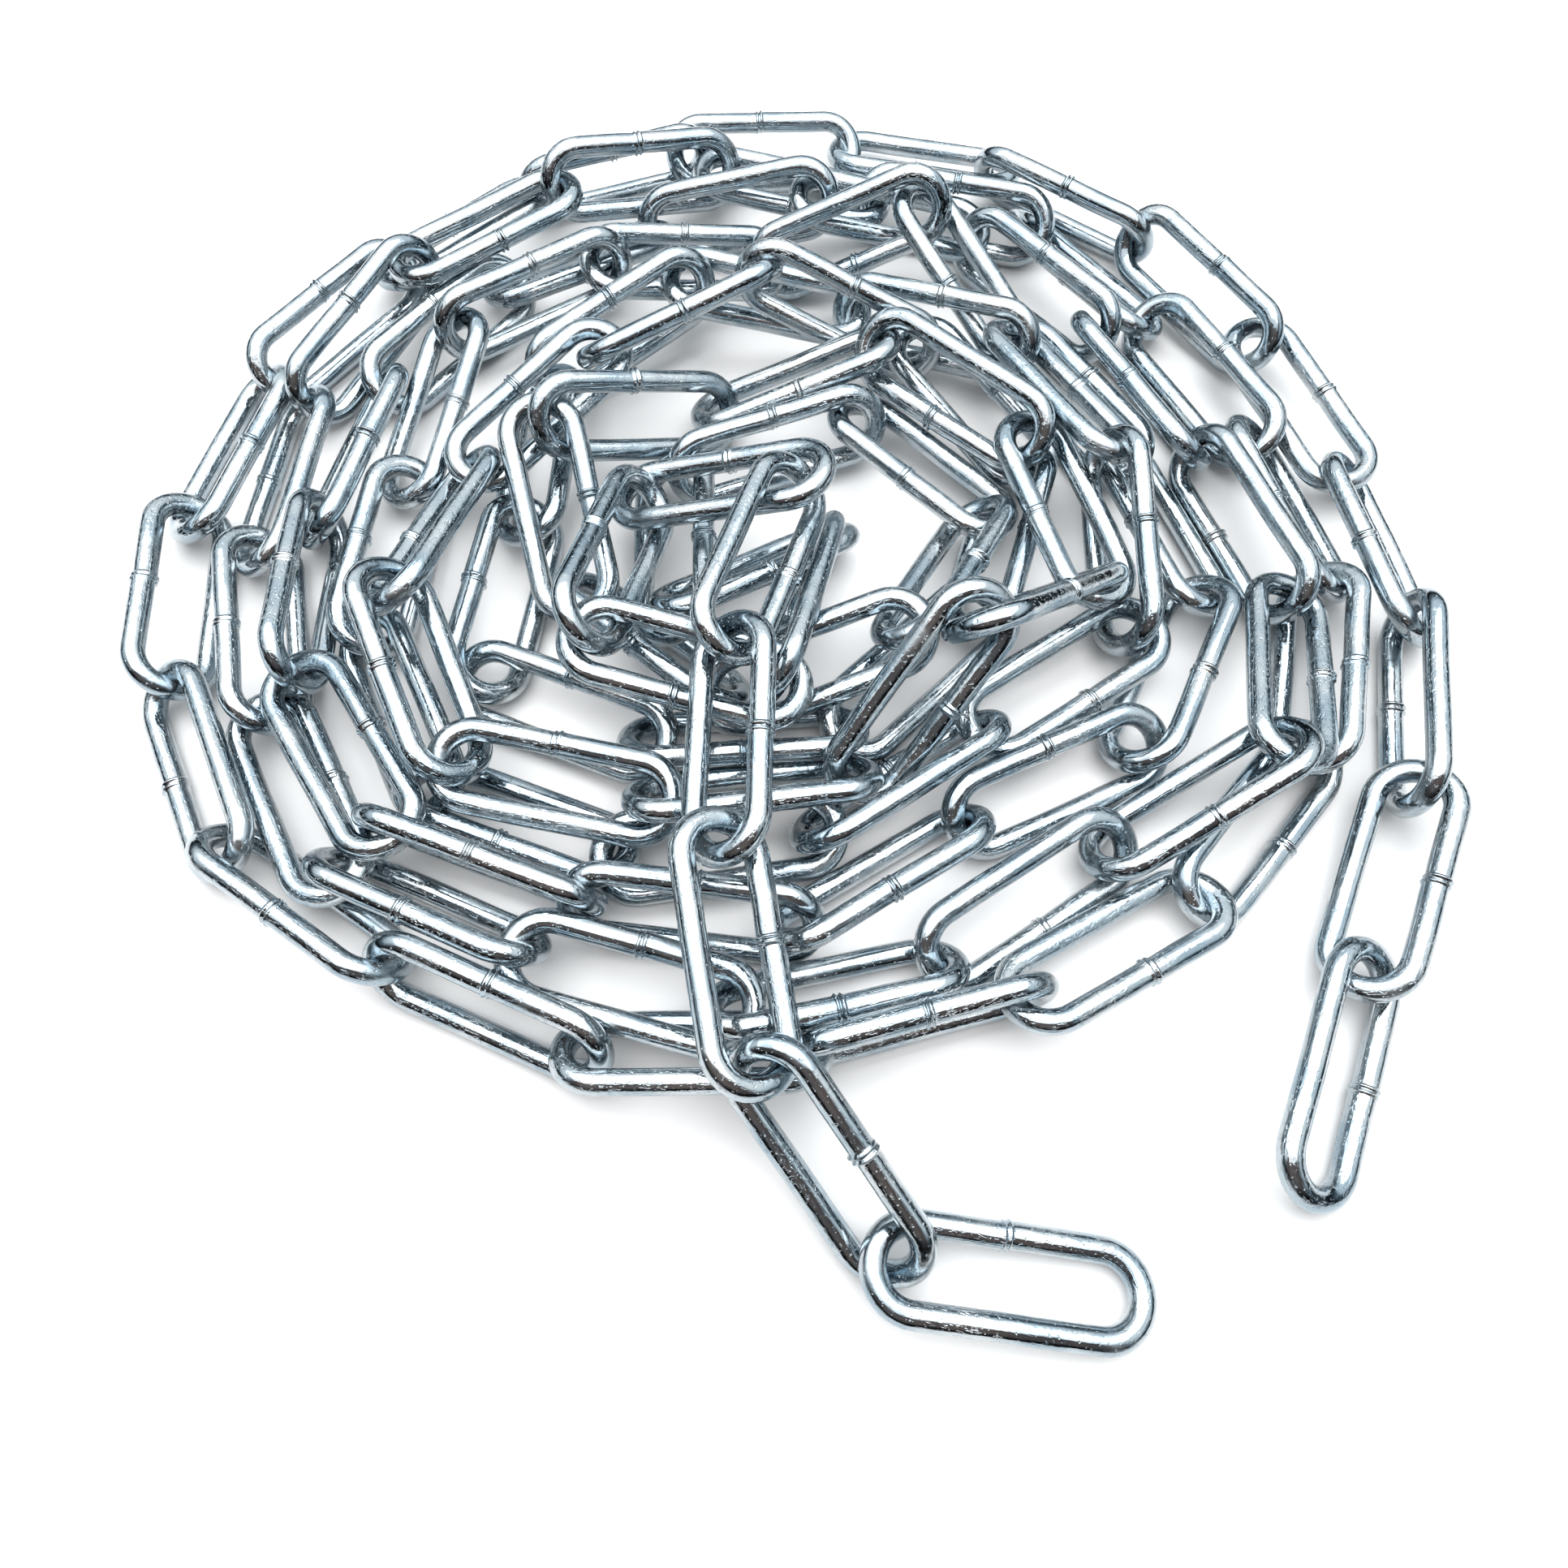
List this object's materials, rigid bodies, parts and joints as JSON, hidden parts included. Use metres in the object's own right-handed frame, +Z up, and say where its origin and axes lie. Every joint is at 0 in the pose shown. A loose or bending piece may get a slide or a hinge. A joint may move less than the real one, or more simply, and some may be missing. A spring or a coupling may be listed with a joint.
{
  "type": "loose chain heap",
  "caption": "Loose length of welded long-link steel chain laid down as a flat coil, with one end drawn out beside it and the other led over the top.",
  "frame": {"origin": "middle of the heap's footprint, on the floor it lies on", "axes": "+Z up; +Y away from the side where both free ends lie; +X to the right as seen from that side"},
  "size_m": [0.1728, 0.182, 0.0255],
  "materials": {
    "bright_zinc": "bright zinc plating, glossy and slightly blue, with fine pits and scuffs"
  },
  "bodies": {
    "root": {"right_tail_end_link": "bright_zinc", "right_tail_link_002": "bright_zinc", "right_tail_link_003": "bright_zinc", "turn_1_links_004_005": "bright_zinc", "turn_1_links_006_007": "bright_zinc", "turn_1_links_008_009": "bright_zinc", "turn_1_links_010_011": "bright_zinc", "turn_1_links_012_013": "bright_zinc", "turn_1_links_014_015": "bright_zinc", "turn_1_links_016_017": "bright_zinc", "turn_1_links_018_019": "bright_zinc", "turn_1_links_020_021": "bright_zinc", "turn_2_links_022_023": "bright_zinc", "turn_2_links_024_025": "bright_zinc", "turn_2_links_026_027": "bright_zinc", "turn_2_links_028_029": "bright_zinc", "turn_2_links_030_031": "bright_zinc", "turn_2_links_032_033": "bright_zinc", "turn_2_links_034_035": "bright_zinc", "turn_2_links_036_037": "bright_zinc", "turn_2_links_038_039": "bright_zinc", "turn_3_links_040_041": "bright_zinc", "turn_3_links_042_043": "bright_zinc", "turn_3_links_044_045": "bright_zinc", "turn_3_links_046_047": "bright_zinc", "turn_3_links_048_049": "bright_zinc", "turn_3_links_050_051": "bright_zinc", "turn_3_links_052_053": "bright_zinc", "turn_3_links_054_055": "bright_zinc", "turn_4_links_056_057": "bright_zinc", "turn_4_links_058_059": "bright_zinc", "turn_4_links_060_061": "bright_zinc", "turn_4_links_062_063": "bright_zinc", "turn_4_links_064_065": "bright_zinc", "turn_4_links_066_067": "bright_zinc", "turn_4_links_068_069": "bright_zinc", "turn_5_links_070_071": "bright_zinc", "turn_5_links_072_073": "bright_zinc", "turn_5_links_074_075": "bright_zinc", "turn_5_links_076_077": "bright_zinc", "turn_5_links_078_079": "bright_zinc", "middle_links_080_081": "bright_zinc", "middle_links_082_083": "bright_zinc", "middle_links_084_085": "bright_zinc", "middle_links_086_087": "bright_zinc", "middle_links_088_089": "bright_zinc", "middle_links_090_091": "bright_zinc", "middle_links_092_093": "bright_zinc", "middle_links_094_095": "bright_zinc", "middle_links_096_097": "bright_zinc", "middle_links_098_099": "bright_zinc", "middle_links_100_101": "bright_zinc", "middle_links_102_103": "bright_zinc", "top_strand_link_104": "bright_zinc", "top_strand_link_105": "bright_zinc", "top_strand_link_106": "bright_zinc", "top_strand_link_107": "bright_zinc", "top_strand_link_108": "bright_zinc", "top_strand_end_link": "bright_zinc"}
  },
  "joints": []
}
